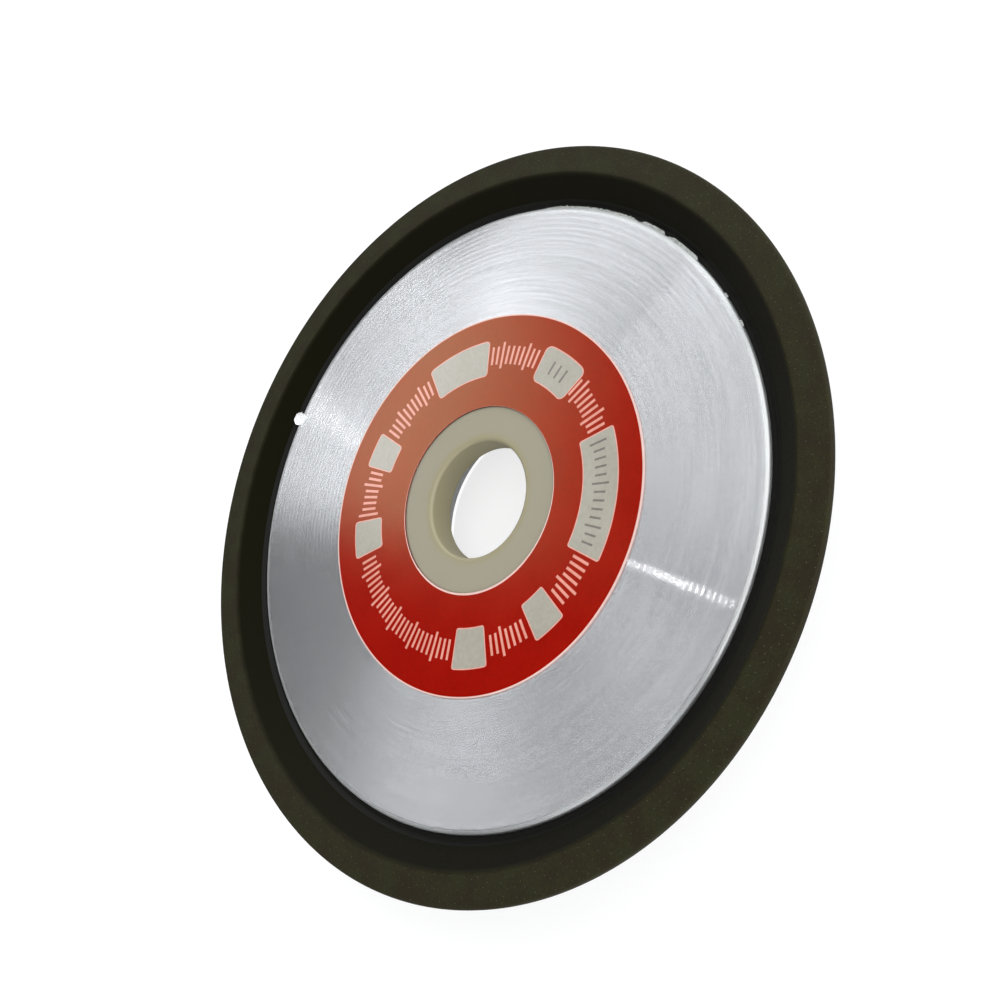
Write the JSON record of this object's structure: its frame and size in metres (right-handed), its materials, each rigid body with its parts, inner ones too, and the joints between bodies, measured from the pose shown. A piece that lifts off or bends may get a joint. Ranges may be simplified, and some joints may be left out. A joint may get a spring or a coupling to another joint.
{
  "type": "diamond grinding disc",
  "caption": "Dish-shaped resin-bond diamond grinding disc: turned aluminium body, raised abrasive rim with a sloping inner wall, plastic reducing bush and a ring label.",
  "frame": {"origin": "centre of the hub's flat back face, on the spindle axis", "axes": "+Z along the spindle axis, from the hub's back to the rim; the disc lies on its hub back with its front up; X and Y are any two directions square to it"},
  "size_m": [0.125, 0.125, 0.016],
  "materials": {
    "turned_aluminium": "face turned with fine concentric tool marks",
    "black_phenolic": "moulded, matt",
    "diamond_resin": "moulded resin full of fine diamond grit, dull",
    "cream_nylon": "moulded, satin",
    "printed_film": "red printed film, satin"
  },
  "bodies": {
    "root": {"core": "turned_aluminium", "backing_ring": "black_phenolic", "diamond_ring": "diamond_resin", "reducing_bush": "cream_nylon", "label": "printed_film"}
  },
  "joints": []
}
